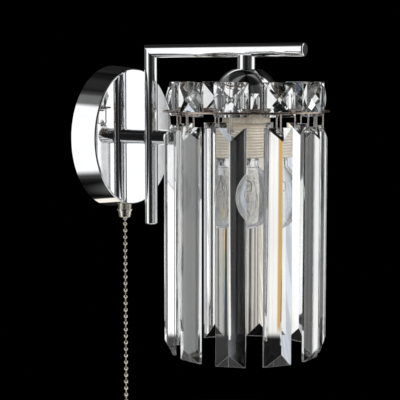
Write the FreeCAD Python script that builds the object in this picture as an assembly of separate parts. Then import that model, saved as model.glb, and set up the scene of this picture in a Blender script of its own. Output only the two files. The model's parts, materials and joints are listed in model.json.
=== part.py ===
import FreeCAD, Part
import math
import os

# A crystal wall sconce. Millimetres, +Z up. The origin is on the wall, at the middle of the
# canopy's back. The lamp stands out from the wall along -Y, and X = 0 is its middle plane.
# The shade hangs on a vertical axis, and its crystals are made at the front and turned round it.

V = FreeCAD.Vector
RIGHT, INTO_WALL, UP = V(1, 0, 0), V(0, 1, 0), V(0, 0, 1)
OUT = V(0, -1, 0)

# Canopy
canopy_face_r = 50.0
canopy_back_r = 52.0
canopy_depth = 19.6
canopy_wall = 1.0
canopy_edge_r = 1.2

# Wall bracket and what it carries
bracket_end = 2.0
bracket_height = 22.0
bracket_thickness = 2.0
bracket_corner_r = 3.0
slot_spacing = 70.0
slot_length = 12.0
slot_width = 5.0
earth_screw_x = -15.0
earth_screw_r = 2.0
earth_head_r = 3.6
earth_head_height = 2.4
terminal_x = 7.0
terminal_length = 18.0
terminal_height = 16.0
terminal_depth = 12.0
terminal_screw_count = 3
terminal_screw_r = 1.5
terminal_screw_length = 4.0
terminal_recess = 1.0

# Threaded centre rod, its lock nuts, and the clearance of the holes it passes through
rod_r = 3.0
rod_bore_r = 1.8
rod_clearance = 0.1
rod_cap_depth = 8.0
nut_flats = 10.0
nut_thickness = 3.0

# Standoff, front cap and arm tubes
standoff_r = 5.65
standoff_reach = 9.1
cap_r = 5.6
cap_length = 11.4
cap_chamfer = 0.6
saddle_wrap = 1.3
tube_r = 4.75
tube_wall = 0.8
bar_z = 62.26
upright_bottom_z = -63.65
end_disc_thickness = 2.2
end_disc_edge_r = 0.9
end_spigot_length = 4.0
shade_gap = 5.9
bar_overhang = 45.2

# Drop stem, nipple and holder cup
stem_r = 6.4
stem_drop = 8.41
nipple_in_stem = 8.0
nipple_in_holder = 3.9
cup_r = 22.5
cup_wall = 0.8
cup_flat_r = 10.5
cup_straight = 8.6

# Frame: a hub under the cup, spokes, an inner ring behind the square crystals and the hoop
sheet = 1.0
hub_lip = 1.5
spoke_count = 5
spoke_width = 5.0
inner_ring_width = 3.6
inner_ring_height = 0.8
hoop_width = 3.45
frame_clearance = 0.15
link_notch_width = 2.2

# Crystals: both kinds stand round one circle, and a square one is pointed at its back and front
crystal_count = 10
crystal_circle_r = 47.2
square_side = 23.0
square_below = 2.2
square_back_point = 2.2
square_edge = 3.2
square_front_point = 3.8
square_corner_cut = 0.9
square_hole_r = 0.9
square_hole_up = 3.4
prism_length = 160.0
prism_drop = 9.1
prism_width = 20.5
prism_setback = 2.6
prism_thickness = 7.5
prism_side_wall = 1.4
prism_end_cut = 9.0
prism_end_thickness = 2.0
prism_hole_down = 3.3
prism_hole_r = 1.1
prism_hole_flare = 0.36

# Wire links between each square crystal and its prism
link_wire_r = 0.5
link_bend = 0.9
link_seat = 0.1
link_hang = 0.3
link_leg_gap = 0.25
link_foot_gap = 1.4

# Lampholder
thread_r = 13.95
thread_depth = 0.6
thread_pitch = 2.0
holder_skirt = 31.6
holder_ring_r = 16.75
holder_ring_height = 7.1
holder_ring_grips = 36
holder_grip_r = 0.35
holder_flange_r = 16.5
holder_flange_height = 2.0
holder_body_r = 13.0
holder_body_height = 17.4
holder_shoulder = 3.0
holder_roof = 6.0
holder_bore_r = 10.5
holder_ledge = 1.0
holder_clearance = 0.1
socket_depth = 24.0
insert_plate = 6.0
insert_collar = 4.0
insert_clearance = 0.05
socket_clearance = 0.25
socket_shell_wall = 0.6
socket_shell_length = 19.0
contact_r = 3.2
contact_thickness = 0.7
contact_stalk_r = 1.0

# Globe bulb
bulb_contact_gap = 0.3
globe_r = 22.5
glass_wall = 0.8
neck_r = 9.0
neck_fillet = 4.0
neck_length = 2.7
neck_shoulder = 3.0
neck_in_base = 3.0
neck_below_base = 0.5
base_r = 6.9
base_sheet = 0.3
base_thread_depth = 0.5
base_pitch = 2.82
base_length = 18.0
base_glass_clearance = 0.05
insulator_height = 2.5
tip_r = 2.4
tip_height = 1.0
glass_stem_r = 2.2
glass_stem_length = 17.0
support_wire_r = 0.3
filament_r = 0.25
filament_half_span = 8.0
filament_sag = 2.0

# Pull switch and bead chain
switch_width = 16.0
switch_depth = 13.0
switch_height = 18.0
switch_inset = 2.9
switch_neck_r = 3.95
switch_nut_r = 5.0
switch_nut_height = 3.3
switch_nut_grips = 28
switch_grip_r = 0.25
outlet_flange_r = 5.95
outlet_flange_height = 0.8
outlet_top_r = 5.15
outlet_bottom_r = 4.5
outlet_height = 5.2
outlet_edge_r = 1.0
outlet_floor = 2.2
plunger_r = 1.0
plunger_clearance = 0.3
plunger_length = 18.0
plunger_tip_r = 1.5
plunger_tip_height = 1.5
plunger_tip_gap = 0.3
bead_r = 1.6
bead_pitch = 5.0
bead_count = 33
first_link = 1.4
bead_link_r = 0.4
chain_hang_gap = 0.2
knob_r = 4.5
knob_neck_r = 1.9
knob_height = 14.0

# Wiring
lead_r = 0.75
lead_spacing = 1.6
lead_bend = 3.0
lead_entry_y = -9.0
switch_lead_spacing = 5.0
switch_lead_shift = 9.0
switch_lead_bend = 4.0

# Places that follow from the sizes
bracket_length = slot_spacing + slot_length + 2 * bracket_end
square_back_r = crystal_circle_r + square_back_point
square_girdle_r = square_back_r + square_edge
square_apex_r = square_girdle_r + square_front_point
prism_back_r = crystal_circle_r + prism_setback
prism_ridge_r = prism_back_r + prism_thickness
tube_y = -(canopy_depth + standoff_reach + tube_r)
cap_end_y = tube_y - tube_r - cap_length
shade_y = cap_end_y - shade_gap - prism_ridge_r
bar_end_y = shade_y - bar_overhang
tube_bore_r = tube_r - tube_wall
rod_hole_r = rod_r + rod_clearance
rod_end_y = tube_y - tube_r - rod_cap_depth
tube_under_z = bar_z - tube_r
cup_top_z = tube_under_z - stem_drop
cup_dome_height = math.sqrt(cup_r ** 2 - cup_flat_r ** 2)
dome_centre_z = cup_top_z - cup_dome_height
frame_top_z = dome_centre_z - cup_straight
frame_under_z = frame_top_z - sheet
hub_r = cup_r + hub_lip
holder_flange_z = frame_top_z + holder_flange_height
holder_top_z = holder_flange_z + holder_body_height
nipple_top_z = cup_top_z + nipple_in_stem
nipple_bottom_z = holder_top_z - nipple_in_holder
square_bottom_z = frame_under_z - square_below
square_hole_z = square_bottom_z + square_hole_up
prism_top_z = frame_under_z - prism_drop
prism_hole_z = prism_top_z - prism_hole_down
square_sunk = frame_top_z - square_bottom_z
square_front_slope = square_front_point / (square_side / 2)
square_back_slope = square_back_point / (square_side / 2)
hoop_reach = square_girdle_r + square_front_slope * square_sunk
hoop_bore_r = math.hypot(hoop_reach, square_side / 2 - square_sunk) + frame_clearance
hoop_r = hoop_bore_r + hoop_width
holder_mouth_z = frame_under_z - holder_skirt
insert_under_z = holder_mouth_z + socket_depth
insert_top_z = insert_under_z + insert_plate
hub_bore_r = thread_r + holder_clearance
bulb_tip_z = insert_under_z - contact_thickness - bulb_contact_gap
base_top_z = bulb_tip_z - tip_height - insulator_height
base_rim_z = base_top_z - base_length
shoulder_top_z = base_rim_z - neck_below_base
neck_top_z = shoulder_top_z - neck_shoulder
fillet_top_z = neck_top_z - neck_length
globe_z = fillet_top_z - math.sqrt((globe_r + neck_fillet) ** 2 - (neck_r + neck_fillet) ** 2)
socket_shell_r = base_r + socket_clearance + socket_shell_wall
base_bore_r = base_r - base_thread_depth - base_sheet
switch_y = -canopy_depth / 2
switch_nut_z = -(canopy_back_r + canopy_face_r) / 2
outlet_top_z = switch_nut_z - switch_nut_height
outlet_bottom_z = outlet_top_z - outlet_flange_height - outlet_height
plunger_tip_z = outlet_bottom_z - plunger_tip_gap - plunger_tip_height
chain_top_z = plunger_tip_z - chain_hang_gap
first_bead_z = chain_top_z - first_link - bead_r
last_bead_z = first_bead_z - (bead_count - 1) * bead_pitch
lead_step = lead_spacing / 2


def face_of(corners):
    return Part.Face(Part.makePolygon(corners + corners[:1]))


def outline(steps, place):
    """A closed face; each step is a point, or two points for an arc through the first."""
    start = here = place(*steps[0])
    edges = []
    for step in steps[1:]:
        if isinstance(step[0], tuple):
            middle, end = place(*step[0]), place(*step[1])
            edges.append(Part.Arc(here, middle, end).toShape())
        else:
            end = place(*step)
            edges.append(Part.makeLine(here, end))
        here = end
    edges.append(Part.makeLine(here, start))
    return Part.Face(Part.Wire(edges))


def turned(steps, y=0.0):
    """A solid turned about the vertical axis at y, from (radius, z) steps."""
    return outline(steps, lambda r, z: V(r, y, z)).revolve(V(0, y, 0), UP, 360)


def turned_on_wall_axis(steps):
    """A solid turned about the canopy's axis, from (radius, y) steps."""
    return outline(steps, lambda r, y: V(r, y, 0)).revolve(V(), INTO_WALL, 360)


def post(r, bottom, top, x=0.0, y=0.0):
    return Part.makeCylinder(r, top - bottom, V(x, y, bottom), UP)


def pipe(outer, inner, bottom, top, y=0.0):
    return post(outer, bottom, top, y=y).cut(post(inner, bottom, top, y=y))


def rod_to(r, back, front, x=0.0, z=0.0):
    """A cylinder along Y, from the wall side at back to the room side at front."""
    return Part.makeCylinder(r, back - front, V(x, back, z), OUT)


def box(x0, x1, y0, y1, z0, z1):
    return Part.makeBox(x1 - x0, y1 - y0, z1 - z0, V(x0, y0, z0))


def hexagon(flats, centre, axis, side, length):
    """A hexagonal bar from centre along axis, with one corner toward side."""
    across = axis.cross(side)
    corner_r = flats / math.sqrt(3)
    turns = [math.radians(60 * i) for i in range(6)]
    corners = [centre + side * (corner_r * math.cos(a)) + across * (corner_r * math.sin(a)) for a in turns]
    return face_of(corners).extrude(axis * length)


def corner_arc(before, corner, after, bend):
    """Start, middle and end of the arc that rounds a corner."""
    incoming = (corner - before).normalize()
    outgoing = (after - corner).normalize()
    half_turn = incoming.getAngle(outgoing) / 2
    setback = bend * math.tan(half_turn)
    inward = (outgoing - incoming).normalize()
    middle = corner + inward * (bend / math.cos(half_turn) - bend)
    return corner - incoming * setback, middle, corner + outgoing * setback


def wire_along(points, bend, r, closed=False):
    """Round wire along straight runs between the points, with its corners bent."""
    count = len(points)
    corners = range(count) if closed else range(1, count - 1)
    arcs = [corner_arc(points[i - 1], points[i], points[(i + 1) % count], bend) for i in corners]
    here = arcs[-1][2] if closed else points[0]
    edges = []
    for start, middle, end in arcs:
        edges.append(Part.makeLine(here, start))
        edges.append(Part.Arc(start, middle, end).toShape())
        here = end
    if not closed:
        edges.append(Part.makeLine(here, points[-1]))
    run = edges[0]
    begin = run.FirstParameter
    section = Part.Wire([Part.makeCircle(r, run.valueAt(begin), run.tangentAt(begin))])
    return Part.Wire(edges).makePipeShell([section], True, False)


def at(radius, side, z):
    """A point at the front of the shade: radius from its axis, side along X."""
    return V(side, shade_y - radius, z)


def round_shade(shape, index, count, offset=0.0):
    """The front shape turned to its place among count others."""
    return shape.rotated(V(0, shade_y, 0), UP, (index + offset) * 360 / count)


def wall_bracket():
    half_x, half_z = bracket_length / 2, bracket_height / 2
    plate = box(-half_x, half_x, -bracket_thickness, 0, -half_z, half_z)
    corners = [e for e in plate.Edges if abs(e.tangentAt(e.FirstParameter).y) > 0.5]
    plate = plate.makeFillet(bracket_corner_r, corners)
    slot_r = slot_width / 2
    half_run = slot_length / 2 - slot_r
    for middle in (-slot_spacing / 2, slot_spacing / 2):
        low, high = middle - half_run, middle + half_run
        plate = plate.cut(box(low, high, -bracket_thickness, 0, -slot_r, slot_r))
        for x in (low, high):
            plate = plate.cut(rod_to(slot_r, 0, -bracket_thickness, x))
    plate = plate.cut(rod_to(rod_r, 0, -bracket_thickness))
    return plate.cut(rod_to(earth_screw_r, 0, -bracket_thickness, earth_screw_x))


def earth_screw():
    shank = rod_to(earth_screw_r, 0, -bracket_thickness, earth_screw_x)
    head = rod_to(earth_head_r, -bracket_thickness, -bracket_thickness - earth_head_height, earth_screw_x)
    return shank.fuse(head).removeSplitter()


def terminal_places():
    pitch = terminal_length / terminal_screw_count
    return [terminal_x + (i + 0.5) * pitch for i in range(terminal_screw_count)]


def terminal_block():
    front = -bracket_thickness - terminal_depth
    block = box(terminal_x, terminal_x + terminal_length, front, -bracket_thickness,
                -terminal_height / 2, terminal_height / 2)
    for x in terminal_places():
        block = block.cut(rod_to(terminal_screw_r, front + terminal_recess + terminal_screw_length, front, x))
    return block


def terminal_screws():
    top = -bracket_thickness - terminal_depth + terminal_recess
    return [rod_to(terminal_screw_r, top + terminal_screw_length, top, x) for x in terminal_places()]


def lead_route(step):
    """Centre line of one lamp lead, from the terminal block to the lampholder."""
    return [V(terminal_x, lead_entry_y, step), V(0, lead_entry_y, step), V(0, tube_y + step, step),
            V(0, tube_y + step, bar_z + step), V(0, shade_y - step, bar_z + step),
            V(0, shade_y - step, insert_top_z)]


def switch_lead(x):
    """A lead from the switch body up and across to the terminal block."""
    low, high, end_x = switch_body_top_z(), -terminal_height / 2, x + switch_lead_shift
    rise = (high - low) / 3
    return wire_along([V(x, switch_y, low), V(x, switch_y, low + rise),
                       V(end_x, switch_y, high - rise), V(end_x, switch_y, high)], switch_lead_bend, lead_r)


def leads():
    lamp = [wire_along(lead_route(step), lead_bend, lead_r) for step in (-lead_step, lead_step)]
    return lamp + [switch_lead(x) for x in (0.0, switch_lead_spacing)]


def canopy_envelope():
    straight_y = -canopy_depth + canopy_edge_r
    flat_r = canopy_face_r - canopy_edge_r
    slant = canopy_edge_r * math.sqrt(0.5)
    return turned_on_wall_axis([(0, 0), (canopy_back_r, 0), (canopy_face_r, straight_y),
                                ((flat_r + slant, straight_y - slant), (flat_r, -canopy_depth)),
                                (0, -canopy_depth)])


def canopy_shell():
    inside = -canopy_depth + canopy_wall
    hollow = turned_on_wall_axis([(0, 0), (canopy_back_r - canopy_wall, 0),
                                  (canopy_face_r - canopy_wall, inside), (0, inside)])
    shell = canopy_envelope().cut(hollow).cut(rod_to(rod_hole_r, 0, -canopy_depth))
    return shell.cut(post(switch_neck_r + rod_clearance, switch_nut_z - switch_nut_height, 0, y=switch_y))


def centre_rod():
    rod = rod_to(rod_r, 0, rod_end_y).cut(rod_to(rod_bore_r, 0, tube_y - rod_r))
    entry = Part.makeCylinder(rod_bore_r + rod_clearance, rod_r, V(0, lead_entry_y, 0), RIGHT)
    exit_slot = box(-rod_bore_r, rod_bore_r, tube_y - rod_bore_r, tube_y + lead_bend + lead_r, 0, rod_r)
    return rod.cut(entry).cut(exit_slot)


def lock_nuts():
    on_bracket = hexagon(nut_flats, V(0, -bracket_thickness, 0), OUT, UP, nut_thickness)
    under_cup = hexagon(nut_flats, V(0, shade_y, cup_top_z - cup_wall), -UP, RIGHT, nut_thickness)
    return [on_bracket.cut(rod_to(rod_r, 0, -bracket_thickness - nut_thickness)),
            under_cup.cut(post(rod_r, nipple_bottom_z, nipple_top_z, y=shade_y))]


def standoff():
    end = tube_y + tube_r - saddle_wrap
    collar = rod_to(standoff_r, -canopy_depth, end).cut(rod_to(rod_hole_r, 0, end))
    return collar.cut(post(tube_r, -standoff_r, standoff_r, y=tube_y))


def front_cap():
    start = tube_y - tube_r + saddle_wrap
    cap = turned_on_wall_axis([(0, start), (cap_r, start), (cap_r, cap_end_y + cap_chamfer),
                               (cap_r - cap_chamfer, cap_end_y), (0, cap_end_y)])
    return cap.cut(post(tube_r, -cap_r, cap_r, y=tube_y)).cut(rod_to(rod_r, start, rod_end_y))


def mitre_cut(side):
    """The half beyond the mitre: side 1 is what the upright loses, side -1 what the bar loses."""
    reach = 2 * tube_r
    corners = [V(-reach, tube_y - reach, bar_z - reach), V(-reach, tube_y + reach, bar_z + reach),
               V(-reach, tube_y - side * reach, bar_z + side * reach)]
    return face_of(corners).extrude(RIGHT * (2 * reach))


def arm_upright():
    bottom = upright_bottom_z + end_disc_thickness
    tube = pipe(tube_r, tube_bore_r, bottom, bar_z + tube_r, tube_y)
    return tube.cut(rod_to(rod_hole_r, tube_y + tube_r, tube_y - tube_r)).cut(mitre_cut(1))


def arm_bar():
    back, front = tube_y + tube_r, bar_end_y + end_disc_thickness
    tube = rod_to(tube_r, back, front, z=bar_z).cut(rod_to(tube_bore_r, back, front, z=bar_z))
    return tube.cut(mitre_cut(-1)).cut(post(rod_r, tube_under_z - tube_wall, bar_z, y=shade_y))


def end_disc():
    """Tube closer, from (radius, height) steps up from its outer face, with a spigot for the bore."""
    edge, turn = end_disc_edge_r, end_disc_edge_r * (1 - math.sqrt(0.5))
    top = end_disc_thickness + end_spigot_length
    return turned([(0, 0), (tube_r - edge, 0), ((tube_r - turn, turn), (tube_r, edge)),
                   (tube_r, end_disc_thickness), (tube_bore_r, end_disc_thickness),
                   (tube_bore_r, top), (0, top)])


def upright_end_cap():
    return end_disc().translated(V(0, tube_y, upright_bottom_z))


def bar_end_cap():
    return end_disc().rotated(V(), RIGHT, -90).translated(V(0, bar_end_y, bar_z))


def drop_stem():
    stem = post(stem_r, cup_top_z, tube_under_z + saddle_wrap, y=shade_y)
    saddle = rod_to(tube_r, shade_y + stem_r, shade_y - stem_r, z=bar_z)
    return stem.cut(post(rod_r, cup_top_z, bar_z, y=shade_y)).cut(saddle)


def stem_nipple():
    return pipe(rod_r, rod_bore_r, nipple_bottom_z, nipple_top_z, shade_y)


def dome(r, height, bottom):
    """Solid straight skirt with a round top cut flat at height over the dome's centre."""
    ball = Part.makeSphere(r, V(0, shade_y, dome_centre_z))
    keep = post(r, dome_centre_z, dome_centre_z + height, y=shade_y)
    return ball.common(keep).fuse(post(r, bottom, dome_centre_z, y=shade_y))


def holder_cup():
    inside = dome(cup_r - cup_wall, cup_dome_height - cup_wall, frame_top_z)
    cup = dome(cup_r, cup_dome_height, frame_top_z).cut(inside)
    return cup.cut(post(rod_hole_r, frame_top_z, cup_top_z, y=shade_y))


def flat_ring(outer, inner):
    return pipe(outer, inner, frame_under_z, frame_top_z, shade_y)


def frame_spokes():
    bar = box(-spoke_width / 2, spoke_width / 2, shade_y - hoop_r, shade_y, frame_under_z, frame_top_z)
    bar = bar.common(flat_ring(hoop_bore_r, hub_r))
    return [round_shade(bar, i, spoke_count, 0.25) for i in range(spoke_count)]


def link_notches(inner, outer, bottom, top):
    notch = box(-link_notch_width / 2, link_notch_width / 2, shade_y - outer, shade_y - inner, bottom, top)
    return [round_shade(notch, i, crystal_count) for i in range(crystal_count)]


def polygon_bar(flat_r, bottom, height):
    """A bar with a flat toward each crystal."""
    corner_r = flat_r / math.cos(math.pi / crystal_count)
    turns = [(i + 0.5) * 2 * math.pi / crystal_count for i in range(crystal_count)]
    corners = [at(corner_r * math.cos(a), corner_r * math.sin(a), bottom) for a in turns]
    return face_of(corners).extrude(UP * height)


def square_back_at(z):
    """Radius of a square crystal's back face, below its middle."""
    return square_back_r - square_back_slope * (z - square_bottom_z)


def square_front_at(z):
    """Radius of a square crystal's front face, below its middle."""
    return square_girdle_r + square_front_slope * (z - square_bottom_z)


def link_back_r():
    """Radius of a link's leg behind the square crystal's hole."""
    return square_back_at(square_hole_z - square_hole_r) - link_leg_gap - link_wire_r


def link_front_r():
    """Radius of a link's leg in front of the square crystal's hole."""
    return square_front_at(square_hole_z - square_hole_r) + link_leg_gap + link_wire_r


def frame_inner_ring():
    top = frame_top_z + inner_ring_height
    flat_r = square_back_at(top) - frame_clearance
    ring = polygon_bar(flat_r, frame_top_z, inner_ring_height)
    ring = ring.cut(polygon_bar(flat_r - inner_ring_width, frame_top_z, inner_ring_height))
    return ring.cut(link_notches(link_back_r() - link_wire_r - frame_clearance, flat_r, frame_top_z, top))


def frame_hoop():
    notch_r = link_front_r() + link_wire_r + frame_clearance
    notches = link_notches(square_girdle_r, notch_r, frame_under_z, frame_top_z)
    return flat_ring(hoop_r, hoop_bore_r).cut(notches)


def pyramid(half, height):
    """Four-sided point on a square base, toward the wall."""
    return Part.makeWedge(-half, 0, -half, 0, 0, half, height, half, 0, 0)


def square_crystal():
    """Square plate with a four-sided point at its back and front, its corners a little cut off."""
    half = square_side / 2
    middle_z = square_bottom_z + half
    front = pyramid(half, square_front_point).rotated(V(), UP, 180)
    front = front.translated(at(square_girdle_r, 0, middle_z))
    back = pyramid(half, square_back_point).translated(at(square_back_r, 0, middle_z))
    slab = box(-half, half, shade_y - square_girdle_r, shade_y - square_back_r,
               square_bottom_z, square_bottom_z + square_side)
    cut = half - square_corner_cut
    edge = [(half, cut), (cut, half), (-cut, half), (-half, cut), (-half, -cut), (-cut, -half), (cut, -half),
            (half, -cut)]
    blank = face_of([at(crystal_circle_r, x, middle_z + z) for x, z in edge])
    blank = blank.extrude(OUT * (square_apex_r - crystal_circle_r))
    hole = rod_to(square_hole_r, shade_y - crystal_circle_r, shade_y - square_apex_r, z=square_hole_z)
    return slab.fuse([front, back]).common(blank).cut(hole)


def prism_blank():
    """Long prism: flat back, thin side walls, a ridge in front, both ends cut back to the ridge."""
    half = prism_width / 2
    bottom = prism_top_z - prism_length
    wall_r = prism_back_r + prism_side_wall
    section = [(prism_back_r, -half), (prism_back_r, half), (wall_r, half), (prism_ridge_r, 0),
               (wall_r, -half)]
    bar = face_of([at(r, side, bottom) for r, side in section]).extrude(UP * prism_length)
    end_r = prism_back_r + prism_end_thickness
    side_view = [(prism_back_r, bottom), (end_r, bottom), (prism_ridge_r, bottom + prism_end_cut),
                 (prism_ridge_r, prism_top_z - prism_end_cut), (end_r, prism_top_z),
                 (prism_back_r, prism_top_z)]
    ends = face_of([at(r, -half, z) for r, z in side_view]).extrude(RIGHT * prism_width)
    return bar.common(ends).Solids[0]


def prism_hang_r():
    """Radius from the shade's axis at which a prism balances, where its hole is narrowest."""
    return shade_y - prism_blank().CenterOfMass.y


def prism():
    waist = at(prism_hang_r(), 0, prism_hole_z)
    length = prism_ridge_r - prism_back_r
    mouth_r = prism_hole_r + prism_hole_flare * length
    front = Part.makeCone(prism_hole_r, mouth_r, length, waist, OUT)
    back = Part.makeCone(prism_hole_r, mouth_r, length, waist, INTO_WALL)
    return prism_blank().cut([front, back])


def crystal_link():
    """Closed loop through the square crystal's lower hole and the prism's upper hole."""
    top_z = square_hole_z - square_hole_r + link_wire_r + link_seat
    bottom_z = prism_hole_z + prism_hole_r - link_wire_r - link_hang
    end_slope = (prism_thickness - prism_end_thickness) / prism_end_cut
    low_front_r = prism_back_r + prism_end_thickness + prism_hole_down * end_slope + link_leg_gap
    foot_r = prism_back_r - link_foot_gap - link_wire_r
    corners = [(link_back_r(), top_z), (link_front_r(), top_z), (low_front_r, bottom_z), (foot_r, bottom_z)]
    return wire_along([at(r, 0, z) for r, z in corners], link_bend, link_wire_r, closed=True)


def lampholder_body():
    plain_z = frame_under_z - holder_ring_height
    turns = int((plain_z - holder_mouth_z) / thread_pitch)
    steps = [(holder_bore_r, holder_mouth_z)]
    for i in range(turns):
        z = holder_mouth_z + i * thread_pitch
        steps += [(thread_r - thread_depth, z), (thread_r, z + thread_pitch / 2)]
    shoulder_r = holder_bore_r - holder_ledge
    cavity_z = holder_top_z - holder_roof
    steps += [(thread_r - thread_depth, holder_mouth_z + turns * thread_pitch), (thread_r, plain_z),
              (thread_r, frame_top_z), (holder_flange_r, frame_top_z), (holder_flange_r, holder_flange_z),
              (holder_body_r, holder_flange_z), (holder_body_r, holder_top_z - holder_shoulder),
              (holder_body_r - holder_shoulder, holder_top_z), (rod_r, holder_top_z), (rod_r, cavity_z),
              (shoulder_r, cavity_z), (shoulder_r, insert_top_z), (holder_bore_r, insert_top_z)]
    return turned(steps, shade_y)


def knurled(shape, r, grip_r, count, bottom, top, y):
    """The round shape with upright grooves cut round its edge."""
    groove = post(grip_r, bottom, top, x=r, y=y)
    return shape.cut([groove.rotated(V(0, y, 0), UP, i * 360 / count) for i in range(count)])


def lampholder_ring():
    bottom = frame_under_z - holder_ring_height
    ring = pipe(holder_ring_r, thread_r, bottom, frame_under_z, shade_y)
    return knurled(ring, holder_ring_r, holder_grip_r, holder_ring_grips, bottom, frame_under_z, shade_y)


def socket_insert():
    outer = holder_bore_r - insert_clearance
    collar_z = insert_under_z - insert_collar
    return turned([(socket_shell_r, collar_z), (outer, collar_z), (outer, insert_top_z),
                   (contact_stalk_r, insert_top_z), (contact_stalk_r, insert_under_z),
                   (socket_shell_r, insert_under_z)], shade_y)


def socket_shell():
    bottom = insert_under_z - socket_shell_length
    return pipe(socket_shell_r, socket_shell_r - socket_shell_wall, bottom, insert_under_z, shade_y)


def centre_contact():
    disc = post(contact_r, insert_under_z - contact_thickness, insert_under_z, y=shade_y)
    return disc.fuse(post(contact_stalk_r, insert_under_z, insert_top_z, y=shade_y)).removeSplitter()


def neck_end_z():
    return base_rim_z + neck_in_base


def glass_steps(inset):
    """Half outline of the bulb's glass, moved inward by inset, from its top down to its lowest point."""
    ball, neck, fillet = globe_r - inset, neck_r - inset, neck_fillet + inset
    seat = base_bore_r - base_glass_clearance - inset
    meet_angle = math.atan2(fillet_top_z - globe_z, neck + fillet)
    half_way = meet_angle / 2
    low_angle = (meet_angle - math.pi / 2) / 2
    meet = (ball * math.cos(meet_angle), globe_z + ball * math.sin(meet_angle))
    fillet_middle = (neck + fillet - fillet * math.cos(half_way), fillet_top_z - fillet * math.sin(half_way))
    ball_middle = (ball * math.cos(low_angle), globe_z + ball * math.sin(low_angle))
    return [(seat, neck_end_z()), (seat, shoulder_top_z), (neck, neck_top_z), (neck, fillet_top_z),
            (fillet_middle, meet), (ball_middle, (0, globe_z - ball))]


def bulb_glass():
    outside = turned(glass_steps(0.0) + [(0, neck_end_z())], shade_y)
    inside = turned(glass_steps(glass_wall) + [(0, neck_end_z())], shade_y)
    return outside.cut(inside)


def bulb_base_shell():
    root, turns = base_r - base_thread_depth, int(base_length / base_pitch)
    steps = [(base_bore_r, base_rim_z), (root, base_rim_z)]
    for i in range(turns):
        z = base_rim_z + i * base_pitch
        steps += [((base_r, z + base_pitch / 2), (root, z + base_pitch))]
    steps += [(root, base_top_z), (base_bore_r, base_top_z)]
    return turned(steps, shade_y)


def bulb_insulator():
    top = base_top_z + insulator_height
    steps = [(0, base_top_z), (base_r - base_thread_depth, base_top_z), (tip_r, top), (0, top)]
    return turned(steps, shade_y)


def bulb_contact():
    top = bulb_tip_z - tip_height
    return turned([(0, top), (tip_r, top), (tip_r / 2, bulb_tip_z), (0, bulb_tip_z)], shade_y)


def glass_stem_end_z():
    return neck_end_z() - glass_stem_length


def bulb_stem():
    """Glass mount: a flare that closes the bulb's neck and a rod down toward the filament."""
    top = neck_end_z()
    flare_r = base_bore_r - base_glass_clearance - glass_wall
    return turned([(0, top), (flare_r, top), (flare_r, top - glass_wall), (glass_stem_r, top - 2 * flare_r),
                   (glass_stem_r, glass_stem_end_z()), (0, glass_stem_end_z())], shade_y)


def bulb_filament():
    """Two support wires from the stem and the filament that hangs between them."""
    top, low = glass_stem_end_z(), globe_z + globe_r / 4
    near, far = glass_stem_r / 2, filament_half_span
    solids = [wire_along([V(side * near, shade_y, top), V(side * near, shade_y, (top + low) / 2 + near),
                          V(side * far, shade_y, (top + low) / 2 - near), V(side * far, shade_y, low)],
                         1.0, support_wire_r) for side in (-1, 1)]
    sag_z = low - filament_r - filament_sag
    ends = [V(-far, shade_y, low), V(-far, shade_y, sag_z), V(far, shade_y, sag_z), V(far, shade_y, low)]
    return solids + [wire_along(ends, 1.5, filament_r)]


def switch_body_top_z():
    return switch_nut_z + switch_inset + switch_height


def neck_bottom_z():
    return outlet_bottom_z + outlet_floor


def switch_body():
    bottom = switch_nut_z + switch_inset
    case = box(-switch_width / 2, switch_width / 2, switch_y - switch_depth / 2, switch_y + switch_depth / 2,
               bottom, switch_body_top_z())
    neck = post(switch_neck_r, neck_bottom_z(), bottom, y=switch_y)
    bore_top = plunger_tip_z + plunger_tip_height + plunger_length + plunger_clearance
    return case.fuse(neck).cut(post(plunger_r + plunger_clearance, neck_bottom_z(), bore_top, y=switch_y))


def switch_nut():
    nut = pipe(switch_nut_r, switch_neck_r, outlet_top_z, switch_nut_z + canopy_edge_r, switch_y)
    nut = nut.cut(canopy_envelope())
    return knurled(nut, switch_nut_r, switch_grip_r, switch_nut_grips, outlet_top_z, 0, switch_y)


def switch_outlet():
    shoulder = outlet_top_z - outlet_flange_height
    turn = outlet_edge_r * (1 - math.sqrt(0.5))
    hole_r = plunger_r + plunger_clearance
    return turned([(switch_neck_r, outlet_top_z), (outlet_flange_r, outlet_top_z),
                   (outlet_flange_r, shoulder), (outlet_top_r, shoulder),
                   (outlet_bottom_r, outlet_bottom_z + outlet_edge_r),
                   ((outlet_bottom_r - turn, outlet_bottom_z + turn),
                    (outlet_bottom_r - outlet_edge_r, outlet_bottom_z)),
                   (hole_r, outlet_bottom_z), (hole_r, neck_bottom_z()), (switch_neck_r, neck_bottom_z())],
                  switch_y)


def switch_plunger():
    tip = post(plunger_tip_r, plunger_tip_z, plunger_tip_z + plunger_tip_height, y=switch_y)
    shaft_bottom = plunger_tip_z + plunger_tip_height
    return tip.fuse(post(plunger_r, shaft_bottom, shaft_bottom + plunger_length, y=switch_y)).removeSplitter()


def chain_beads():
    return [Part.makeSphere(bead_r, V(0, switch_y, first_bead_z - i * bead_pitch)) for i in range(bead_count)]


def chain_links():
    """Wire stubs: one over the first bead, then one under each bead, the last of them in the knob."""
    top_link = post(bead_link_r, first_bead_z + bead_r, chain_top_z, y=switch_y)
    below = [first_bead_z - i * bead_pitch - bead_r for i in range(bead_count)]
    return [top_link] + [post(bead_link_r, z - bead_pitch + 2 * bead_r, z, y=switch_y) for z in below]


def pull_knob():
    top = last_bead_z - bead_pitch + bead_r
    bottom = top - knob_height
    tilt = knob_r * math.sqrt(0.5)
    return turned([(0, top), (knob_neck_r, top), (knob_r, bottom + knob_r),
                   ((tilt, bottom + knob_r - tilt), (0, bottom)), (0, bottom + knob_r)], switch_y)


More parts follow.
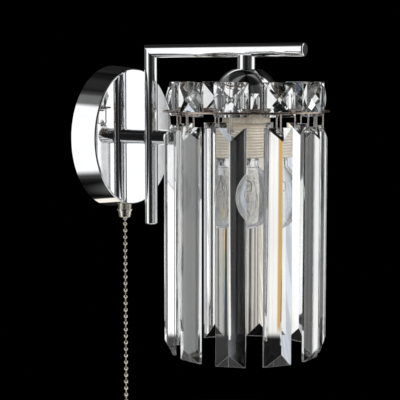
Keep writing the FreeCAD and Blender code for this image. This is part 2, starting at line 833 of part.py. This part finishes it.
pieces = {
    "wall_bracket": wall_bracket(),
    "earth_screw": earth_screw(),
    "terminal_block": terminal_block(),
    "terminal_screws": terminal_screws(),
    "leads": leads(),
    "canopy_shell": canopy_shell(),
    "centre_rod": centre_rod(),
    "lock_nuts": lock_nuts(),
    "standoff": standoff(),
    "front_cap": front_cap(),
    "arm_upright": arm_upright(),
    "upright_end_cap": upright_end_cap(),
    "arm_bar": arm_bar(),
    "bar_end_cap": bar_end_cap(),
    "drop_stem": drop_stem(),
    "stem_nipple": stem_nipple(),
    "holder_cup": holder_cup(),
    "frame_hub": flat_ring(hub_r, hub_bore_r),
    "frame_spokes": frame_spokes(),
    "frame_inner_ring": frame_inner_ring(),
    "frame_hoop": frame_hoop(),
    "crystal_links": [round_shade(crystal_link(), i, crystal_count) for i in range(crystal_count)],
    "lampholder_body": lampholder_body(),
    "lampholder_ring": lampholder_ring(),
    "socket_insert": socket_insert(),
    "socket_shell": socket_shell(),
    "centre_contact": centre_contact(),
    "bulb_glass": bulb_glass(),
    "bulb_base_shell": bulb_base_shell(),
    "bulb_insulator": bulb_insulator(),
    "bulb_contact": bulb_contact(),
    "bulb_stem": bulb_stem(),
    "bulb_filament": bulb_filament(),
    "switch_body": switch_body(),
    "switch_nut": switch_nut(),
    "switch_outlet": switch_outlet(),
    "switch_plunger": switch_plunger(),
    "chain_beads": chain_beads(),
    "chain_links": chain_links(),
    "pull_knob": pull_knob(),
}
front_square, front_prism = square_crystal(), prism()
for i in range(crystal_count):
    pieces[f"square_crystal_{i + 1:02d}"] = round_shade(front_square, i, crystal_count)
    pieces[f"prism_{i + 1:02d}"] = round_shade(front_prism, i, crystal_count)

os.makedirs("parts", exist_ok=True)
for node, shape in pieces.items():
    solid = Part.makeCompound(shape) if isinstance(shape, list) else shape
    solid.exportStep(f"parts/{node}.step")
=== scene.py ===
import json
import math

import bpy
from mathutils import Matrix, Vector

# A chrome wall light with a ring of hanging crystals, seen from its front left. Metres, the same
# frame as the solids: origin on the wall at the middle of the canopy's back, +Z up, room toward -Y.

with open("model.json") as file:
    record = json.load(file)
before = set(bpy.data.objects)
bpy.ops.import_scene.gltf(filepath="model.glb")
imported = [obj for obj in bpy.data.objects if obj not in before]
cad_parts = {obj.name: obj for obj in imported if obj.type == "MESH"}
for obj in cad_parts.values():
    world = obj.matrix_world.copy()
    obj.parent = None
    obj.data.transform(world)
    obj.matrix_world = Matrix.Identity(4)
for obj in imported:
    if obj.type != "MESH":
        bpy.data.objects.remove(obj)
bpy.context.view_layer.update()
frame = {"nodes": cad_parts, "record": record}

# Camera, found from the canopy, arm and crystals in the picture
camera_place = (-0.75460, -0.53345, 0.04554)
camera_right = (0.519097, -0.854715, 0.0)
camera_up = (0.086302, 0.052414, 0.994889)
camera_lens_mm = 111.35
camera_film_mm = 36.0
camera_near = 0.01

# Floor, pale out to floor_pale_r and gone at floor_r
floor_z = -0.245
floor_r = 0.22
floor_pale_r = 0.088
floor_middle = (0.0, -0.10)
floor_sides = 96
floor_patch = 0.05

# Light for what is neither metal nor glass: the room's own, and soft lamps as name: (place, width, watts)
room_light = 0.36
lamp_target = (0.0, -0.09, -0.05)
soft_lamps = {
    "key": ((-0.7, -0.9, 0.9), 0.8, 12.0),
    "fill": ((0.9, -0.7, 0.4), 0.9, 5.0),
    "top": ((0.0, -0.1, 1.2), 1.0, 2.0),
}

# Light strips round the room and the dark gaps between them, as (bearing, level, warmth, streaks). Each
# blends into the next. A bearing is in degrees from +X toward +Y. Metal mirrors the first set, and
# crystal and bulb gather the second, which repeats after half a turn.
mirror_period = 360
mirror_strips = [
    (0, 0.01, 0, 0), (40, 0.015, 0, 0), (55, 0.06, 0, 0), (75, 0.16, 0, 0), (98, 0.15, 0, 0),
    (112, 0.09, 0, 0), (122, 0.3, 0, 0), (130, 1.08, 0, 0), (157, 1.12, 0, 0), (164, 0.12, 0, 0),
    (176, 0.06, 0, 0), (190, 0.02, 0, 0), (210, 0.01, 0, 0), (222, 0.015, 0, 0), (232, 0.06, 0, 0),
    (245, 0.04, 0, 0), (262, 0.06, 0, 0), (274, 0.15, 0, 0), (284, 0.6, 0, 0), (292, 1.1, 0, 0),
    (326.1, 1.15, 0, 0), (327.5, 0.06, 0, 0), (345, 0.02, 0, 0)]
crystal_period = 180
crystal_strips = [
    (4, 0.9, 0, 0), (7.3, 1.05, 0, 0), (9.2, 0.7, 0.2, 0.2), (10.3, 0.3, 0.3, 0.9), (12, 0.2, 0, 0.9),
    (25, 0.04, 0, 0.4), (31, 0.34, 0.2, 0.6), (34, 0.08, -1, 0.5), (38.5, 1.25, 0, 0.3),
    (41.5, 0.85, 0, 0.4), (45.3, 1.25, 0, 0.3), (46.5, 0.012, 0, 0), (47.9, 0.006, 0, 0),
    (49.3, 0.68, -0.3, 0.2), (55, 0.15, 0, 0), (58, 0.9, 0.3, 0.2), (66, 1.15, 0, 0),
    (71, 0.9, 0, 0), (75, 0.7, -0.2, 0), (80, 0.04, 0, 0), (88, 1.1, 0, 0), (89.8, 0.3, 0, 0),
    (97, 0.95, 0, 0.3), (104, 0.05, 0, 0), (111, 0.5, 0, 0.2), (112.2, 0.19, 0, 0.15),
    (122, 0.04, 0, 0.3), (134, 1.1, 0, 0), (145, 0.8, 0, 0.3), (154.5, 0.13, 0, 0.15),
    (155.4, 1.1, 0, 0), (168, 1.1, 0, 0.3)]
warm_red = 0.2
warm_blue = -0.35
streaks_in_radian = 330.0
# Noise rises steeply from least to most between these, for streaks and clouds
steep = (0.42, 0.58)

# A rise is a ray's height, from -1 straight down to 1 straight up. The strips end at a dim ceiling and a
# dark ground, each as (level, lower rise, upper rise).
ceiling = (0.15, 0.66, 0.74)
ground = (0.05, -0.815, -0.715)

# Cream patch by the ground that chrome mirrors, as under the canopy's rim: bearing and half width, and the
# rise up to which it is seen, each hard and soft
patch_colour = (1.0, 0.95, 0.84)
patch_bearing, patch_half, patch_half_soft = 34, 14, 16
patch_top, patch_top_soft = -0.6, -0.56

# The crystals' strips stand upright within upright_rise of level_rise and lean beyond it. Those short of
# behind_bearing, straight behind the lamp in the picture, also bend.
level_rise, upright_rise, lean = -0.13, 0.13, 2.0
behind_bearing, bend = 31, 0.8

# Rows in which crystals gather almost no light, as (rise, half height, half height with the soft edge).
# The lower one is only behind the lamp, at the prisms' cut ends.
dark_level = 0.01
upper_row = (0.19, 0.07, 0.1)
lower_row = (-0.245, 0.033, 0.041)
lower_row_bearing, lower_row_half, lower_row_half_soft = 26, 21, 23

# Patchiness of what crystals gather, as (least, most), in the prisms' band of rise and outside it. The
# band is (rise, half height, half height with the soft edge).
clouds_on_sphere = 14.0
cloud_squash = (1, 1, 0.6)
prism_band = (-0.1, 0.14, 0.17)
prism_clouds = (0.88, 1.15)
other_clouds = (0.02, 1.25)

# Narrow lines that crystals gather too, as (bearing, half width, rise, half height, colour), with soft
# edges of line_side degrees and line_end of rise
colour_lines = [
    (7.75, 0.2, -0.12, 0.09, (0.72, 0.45, 0.14)), (335.05, 1.1, -0.12, 0.2, (1.0, 1.0, 1.0)),
    (29.97, 0.3, -0.136, 0.022, (0.62, 0.42, 0.18)), (29.97, 0.3, -0.16, 0.022, (0.3, 0.42, 0.24)),
    (29.97, 0.3, -0.186, 0.026, (0.16, 0.34, 0.48))]
line_side = 0.15
line_end = 0.01

# Surfaces: widths and depths of ripples, brush marks and a moulded skin
ripple_size, ripple_depth = 0.006, 0.000004
brush_size, brush_depth = 0.004, 0.00003
mottle_size, skin_depth = 0.003, 0.00001

# Cut crystal: its polishing ripples, and the ground line along each edge between two facets
polish_size, polish_depth = 0.003, 0.0000003
crystal_drift = 0.02
edge_width, edge_level = 0.0005, 0.6
edge_full, edge_gone = 0.95, 0.995

# Blown glass: its drawn streaks, and how closely the pale rim keeps to the outline
drawn_size, drawn_depth, drawn_stretch = 0.006, 0.00005, (1, 1, 0.15)
rim_power = 4.5


def shader(nt, kind, inputs=None, **settings):
    """A new node; each input is a value, a colour without its alpha, or the output that feeds it."""
    made = nt.nodes.new("ShaderNode" + kind)
    for name, value in settings.items():
        setattr(made, name, value)
    for name, value in (inputs or {}).items():
        socket = made.inputs[name]
        if isinstance(value, bpy.types.NodeSocket):
            nt.links.new(value, socket)
        elif socket.type == "RGBA":
            socket.default_value = (*value, 1)
        else:
            socket.default_value = value
    return made


def new_material(name):
    mat = bpy.data.materials.new(name)
    mat.use_nodes = True
    mat.node_tree.nodes.clear()
    return mat, mat.node_tree


def finish_material(nt, surface):
    shader(nt, "OutputMaterial", {"Surface": surface.outputs[0]})


def math_node(nt, operation, a, b=0.0):
    return shader(nt, "Math", {0: a, 1: b}, operation=operation).outputs[0]


def product(nt, first, *others):
    for other in others:
        first = math_node(nt, "MULTIPLY", first, other)
    return first


def span(nt, value, low, high, start=0.3, end=0.7):
    """Low up to start, high from end on, and a soft rise or fall between."""
    made = shader(nt, "MapRange", {"Value": value, "From Min": start, "From Max": end, "To Min": low,
                                   "To Max": high}, interpolation_type="SMOOTHSTEP")
    return made.outputs[0]


def near(nt, value, middle, inside, outside):
    """1 within inside of middle, falling to 0 at outside."""
    off = math_node(nt, "ABSOLUTE", math_node(nt, "SUBTRACT", value, middle))
    return span(nt, off, 1.0, 0.0, inside, outside)


def near_bearing(nt, bearing, middle, inside, outside):
    """The same for a bearing in radians and limits in degrees."""
    return near(nt, bearing, math.radians(middle), math.radians(inside), math.radians(outside))


def grain(nt, size, stretch=(1, 1, 1), detail=3.0, roughness=0.5):
    """Noise from 0 to 1 in the object's own space, with features about size metres wide."""
    place = shader(nt, "TexCoord").outputs["Object"]
    spread = shader(nt, "Mapping", {"Vector": place, "Scale": stretch}).outputs[0]
    made = shader(nt, "TexNoise", {"Vector": spread, "Scale": 1 / size, "Detail": detail,
                                   "Roughness": roughness})
    return made.outputs[0]


def blend_colour(nt, factor, first, second):
    return shader(nt, "MixRGB", {"Fac": factor, "Color1": first, "Color2": second}).outputs[0]


def blend_shader(nt, factor, first, second):
    return shader(nt, "MixShader", {"Fac": factor, 1: first.outputs[0], 2: second.outputs[0]})


def bumped(nt, height, depth, under=None):
    """Surface normal of a height that adds up to depth metres, on top of the normal under it."""
    made = shader(nt, "Bump", {"Height": height, "Distance": depth, "Strength": 1.0})
    if under is not None:
        nt.links.new(under, made.inputs["Normal"])
    return made.outputs[0]


def metal(name, dark, light, rough, patch, brushed=None):
    """Metal whose colour and gloss drift over patches, with fine ripples and perhaps a brushed grain."""
    mat, nt = new_material(name)
    smooth, dull = rough
    half = (dull - smooth) / 2
    wear = grain(nt, patch, detail=4.0)
    smear = grain(nt, patch / 5, detail=5.0, roughness=0.6)
    gloss = math_node(nt, "ADD", span(nt, wear, smooth, smooth + half), span(nt, smear, 0.0, half))
    normal = bumped(nt, grain(nt, ripple_size, detail=1.0), ripple_depth)
    if brushed:
        normal = bumped(nt, grain(nt, brush_size, stretch=brushed, detail=4.0), brush_depth, under=normal)
    body = shader(nt, "BsdfPrincipled", {
        "Base Color": blend_colour(nt, span(nt, wear, 0.0, 1.0), dark, light), "Metallic": 1.0,
        "Roughness": gloss, "Normal": normal})
    finish_material(nt, body)
    return mat


def plastic(name, dark, light, rough, coat=0.0, sub=0.0):
    """Moulded plastic or glazed ceramic with faint mottling and a fine skin."""
    mat, nt = new_material(name)
    mottle = span(nt, grain(nt, mottle_size, detail=4.0), 0.0, 1.0)
    body = shader(nt, "BsdfPrincipled", {
        "Base Color": blend_colour(nt, mottle, dark, light),
        "Roughness": span(nt, grain(nt, mottle_size * 3), *rough),
        "Normal": bumped(nt, grain(nt, mottle_size / 4), skin_depth),
        "Coat Weight": coat, "Coat Roughness": 0.08, "Subsurface Weight": sub, "Subsurface Scale": 0.002})
    finish_material(nt, body)
    return mat


def crystal():
    """Cut crystal: clear, nearly colourless, with ground lines along its edges. Lamps shine through it."""
    mat, nt = new_material("crystal")
    drift = span(nt, grain(nt, crystal_drift), 0.0, 1.0)
    clear = shader(nt, "BsdfGlass", {
        "Color": blend_colour(nt, drift, (0.965, 0.97, 0.975), (0.99, 0.99, 0.985)),
        "Roughness": span(nt, grain(nt, polish_size * 2, detail=5.0), 0.0, 0.003), "IOR": 1.54,
        "Normal": bumped(nt, grain(nt, polish_size, detail=2.0), polish_depth)})
    ground_glass = shader(nt, "BsdfTranslucent", {"Color": (0.9, 0.9, 0.88)})
    rounded = shader(nt, "Bevel", {"Radius": edge_width}, samples=4).outputs[0]
    flat = shader(nt, "NewGeometry").outputs["True Normal"]
    turned = shader(nt, "VectorMath", {0: rounded, 1: flat}, operation="DOT_PRODUCT").outputs["Value"]
    glass = blend_shader(nt, span(nt, turned, edge_level, 0.0, edge_full, edge_gone), clear, ground_glass)
    through = shader(nt, "BsdfTransparent", {"Color": (0.9, 0.9, 0.9)})
    shadow = shader(nt, "LightPath").outputs["Is Shadow Ray"]
    finish_material(nt, blend_shader(nt, shadow, glass, through))
    return mat


def blown_glass():
    """The bulb's thin wall: clear, pale toward its edge where light gathers, with faint drawn streaks."""
    mat, nt = new_material("bulb_glass")
    streak = grain(nt, drawn_size, stretch=drawn_stretch)
    wavy = bumped(nt, streak, drawn_depth)
    clear = shader(nt, "BsdfGlass", {
        "Color": blend_colour(nt, streak, (0.95, 0.955, 0.96), (0.99, 0.99, 0.99)), "Roughness": 0.0,
        "IOR": 1.5, "Normal": wavy})
    facing = shader(nt, "LayerWeight", {"Blend": 0.5, "Normal": wavy}).outputs["Facing"]
    lit = shader(nt, "BsdfDiffuse", {"Color": (0.95, 0.95, 0.93)})
    glow = shader(nt, "BsdfTranslucent", {"Color": (0.95, 0.95, 0.93)})
    rim = shader(nt, "AddShader", {0: lit.outputs[0], 1: glow.outputs[0]})
    finish_material(nt, blend_shader(nt, math_node(nt, "POWER", facing, rim_power), clear, rim))
    return mat


# As (dark, light, (least, most) roughness, width of a patch, stretch of the brushed grain)
metals = {
    "chrome": ((0.88, 0.885, 0.90), (0.95, 0.955, 0.965), (0.015, 0.05), 0.012),
    "steel": ((0.52, 0.52, 0.50), (0.66, 0.66, 0.67), (0.28, 0.42), 0.012, (1, 14, 14)),
    "nickel_frame": ((0.40, 0.31, 0.26), (0.55, 0.46, 0.40), (0.20, 0.36), 0.008),
    "nickel_wire": ((0.84, 0.77, 0.71), (0.95, 0.90, 0.85), (0.16, 0.28), 0.004),
    "pale_brass": ((0.72, 0.67, 0.56), (0.90, 0.86, 0.76), (0.16, 0.32), 0.003),
    "bare_brass": ((0.62, 0.42, 0.16), (0.82, 0.62, 0.30), (0.2, 0.36), 0.004),
    "tungsten": ((0.22, 0.21, 0.20), (0.36, 0.35, 0.34), (0.3, 0.5), 0.002),
}
# As (dark, light, (least, most) roughness, coat, light let in)
plastics = {
    "ivory_plastic": ((0.87, 0.79, 0.65), (0.95, 0.88, 0.75), (0.28, 0.42), 0.0, 0.06),
    "white_plastic": ((0.78, 0.78, 0.75), (0.86, 0.86, 0.84), (0.3, 0.44)),
    "ceramic": ((0.80, 0.79, 0.74), (0.88, 0.87, 0.83), (0.1, 0.2), 0.5),
    "black_glass": ((0.012, 0.012, 0.015), (0.03, 0.03, 0.035), (0.06, 0.14), 0.6),
    "lead_sleeve": ((0.02, 0.018, 0.016), (0.045, 0.04, 0.036), (0.42, 0.56)),
}
materials = {"crystal": crystal(), "bulb_glass": blown_glass()}
for slot_name, look in metals.items():
    materials[slot_name] = metal(slot_name, *look)
for slot_name, look in plastics.items():
    materials[slot_name] = plastic(slot_name, *look)

for piece in frame["record"]["subparts"]:
    for place in frame["nodes"][piece["node"]].material_slots:
        place.material = materials[piece["material_slot"]]


def studio_floor():
    """Pale round floor whose rim fades into the dark room; it keeps the lamp's shadow."""
    bpy.ops.mesh.primitive_circle_add(vertices=floor_sides, radius=floor_r, fill_type="TRIFAN",
                                      location=(*floor_middle, floor_z))
    floor = bpy.context.object
    floor.name = "studio_floor"
    mat, nt = new_material("studio_floor")
    place = shader(nt, "TexCoord").outputs["Object"]
    away = shader(nt, "VectorMath", {0: place}, operation="LENGTH").outputs["Value"]
    pale = blend_colour(nt, grain(nt, floor_patch), (0.86, 0.86, 0.86), (0.9, 0.9, 0.9))
    surface = shader(nt, "BsdfDiffuse", {"Color": pale, "Roughness": 0.4})
    clear = shader(nt, "BsdfTransparent")
    finish_material(nt, blend_shader(nt, span(nt, away, 1.0, 0.0, floor_pale_r, floor_r), clear, surface))
    floor.data.materials.append(mat)


def strips(nt, bearing, stops, period, strength):
    """Colour by bearing, repeated after period degrees, dimmed by strength and finely streaked."""
    round_once = math_node(nt, "MODULO", math_node(nt, "DIVIDE", bearing, math.radians(period)), 1.0)
    made = shader(nt, "ValToRGB", {"Fac": round_once})
    ramp = made.color_ramp
    ramp.interpolation = "EASE"
    ramp.elements.remove(ramp.elements[1])
    for i, (place, level, warmth, streaked) in enumerate(stops):
        stop = ramp.elements[0] if i == 0 else ramp.elements.new(place / period)
        stop.position = place / period
        stop.color = (level * (1 + warm_red * warmth), level, level * (1 + warm_blue * warmth), streaked)
    streak = shader(nt, "TexNoise", {"W": bearing, "Scale": streaks_in_radian, "Detail": 2.0},
                    noise_dimensions="1D").outputs[0]
    swing = product(nt, made.outputs["Alpha"], span(nt, streak, -1.0, 1.0, *steep))
    level = product(nt, strength, math_node(nt, "ADD", swing, 1.0))
    return shader(nt, "VectorMath", {0: made.outputs[0], "Scale": level}, operation="SCALE").outputs[0]


def mirrored_room(nt, bearing, rise):
    """What chrome and other metal mirror: light strips, and a cream patch by the ground."""
    strength = product(nt, span(nt, rise, 1.0, *ceiling), span(nt, rise, ground[0], 1.0, *ground[1:]))
    lit = strips(nt, bearing, mirror_strips, mirror_period, strength)
    patch = product(nt, near_bearing(nt, bearing, patch_bearing, patch_half, patch_half_soft),
                    span(nt, rise, 1.0, 0.0, patch_top, patch_top_soft))
    return blend_colour(nt, patch, lit, patch_colour)


def gathered_room(nt, direction, bearing, rise):
    """What crystals gather: leaning strips, patchy and with dark rows, and a few coloured lines."""
    off_level = math_node(nt, "ABSOLUTE", math_node(nt, "SUBTRACT", rise, level_rise))
    tilt = math_node(nt, "MAXIMUM", math_node(nt, "SUBTRACT", off_level, upright_rise), 0.0)
    short = math_node(nt, "SUBTRACT", math.radians(behind_bearing), bearing)
    bent = product(nt, math_node(nt, "MAXIMUM", short, 0.0), bend, product(nt, rise, rise))
    leaning = math_node(nt, "ADD", bearing, math_node(nt, "ADD", product(nt, tilt, tilt, lean), bent))

    squashed = shader(nt, "Mapping", {"Vector": direction, "Scale": cloud_squash}).outputs[0]
    cloud = shader(nt, "TexNoise", {"Vector": squashed, "Scale": clouds_on_sphere, "Detail": 1.0}).outputs[0]
    patchy = blend_colour(nt, near(nt, rise, *prism_band), span(nt, cloud, *other_clouds, *steep),
                          span(nt, cloud, *prism_clouds))
    behind = near_bearing(nt, leaning, lower_row_bearing, lower_row_half, lower_row_half_soft)
    lower_dark = product(nt, behind, near(nt, rise, *lower_row))
    dark = math_node(nt, "MAXIMUM", near(nt, rise, *upper_row), lower_dark)
    rows = span(nt, dark, 1.0, dark_level, 0.0, 1.0)
    strength = product(nt, span(nt, rise, 1.0, *ceiling), rows, patchy)
    colour = strips(nt, leaning, crystal_strips, crystal_period, strength)

    for turn, half_turn, level, half_level, line_colour in colour_lines:
        line = product(nt, near_bearing(nt, leaning, turn, half_turn - line_side, half_turn),
                       near(nt, rise, level, half_level - line_end, half_level))
        colour = blend_colour(nt, line, colour, line_colour)
    return colour


def studio_room():
    """Dark to the eye, with light strips round it that metal and glass see, and a dim ceiling and ground."""
    world = bpy.data.worlds.new("studio")
    bpy.context.scene.world = world
    world.use_nodes = True
    nt = world.node_tree
    nt.nodes.clear()
    direction = shader(nt, "TexCoord").outputs["Generated"]
    toward = shader(nt, "SeparateXYZ", {0: direction}).outputs
    bearing = math_node(nt, "ARCTAN2", toward["Y"], toward["X"])
    bearing = math_node(nt, "MODULO", math_node(nt, "ADD", bearing, 2 * math.pi), 2 * math.pi)
    mirrored = mirrored_room(nt, bearing, toward["Z"])
    gathered = gathered_room(nt, direction, bearing, toward["Z"])
    path = shader(nt, "LightPath").outputs
    glossy, through = path["Is Glossy Ray"], path["Is Transmission Ray"]
    soft = product(nt, math_node(nt, "SUBTRACT", 1.0, path["Is Camera Ray"]), room_light)
    colour = blend_colour(nt, through, blend_colour(nt, glossy, (1, 1, 1), mirrored), gathered)
    level = math_node(nt, "MAXIMUM", math_node(nt, "MAXIMUM", glossy, through), soft)
    back = shader(nt, "Background", {"Color": colour, "Strength": level})
    shader(nt, "OutputWorld", {"Surface": back.outputs[0]})


def soft_lamp(name, place, width, watts):
    """Square lamp aimed at the middle of the light; it is seen neither itself nor in metal or glass."""
    lamp = bpy.data.lights.new(name, "AREA")
    lamp.shape = "SQUARE"
    lamp.size = width
    lamp.energy = watts
    made = bpy.data.objects.new(name, lamp)
    bpy.context.scene.collection.objects.link(made)
    made.location = place
    made.rotation_euler = (Vector(lamp_target) - Vector(place)).to_track_quat("-Z", "Y").to_euler()
    made.visible_camera = False
    made.visible_glossy = False
    made.visible_transmission = False


def camera():
    made = bpy.data.objects.new("camera", bpy.data.cameras.new("camera"))
    made.data.lens = camera_lens_mm
    made.data.sensor_width = camera_film_mm
    made.data.clip_start = camera_near
    right, up = Vector(camera_right), Vector(camera_up)
    turn = Matrix((right, up, right.cross(up))).transposed().to_4x4()
    made.matrix_world = Matrix.Translation(camera_place) @ turn
    bpy.context.scene.collection.objects.link(made)
    bpy.context.scene.camera = made


studio_floor()
studio_room()
for lamp_name, setup in soft_lamps.items():
    soft_lamp(lamp_name, *setup)
camera()

bpy.context.scene.view_settings.view_transform = "Standard"
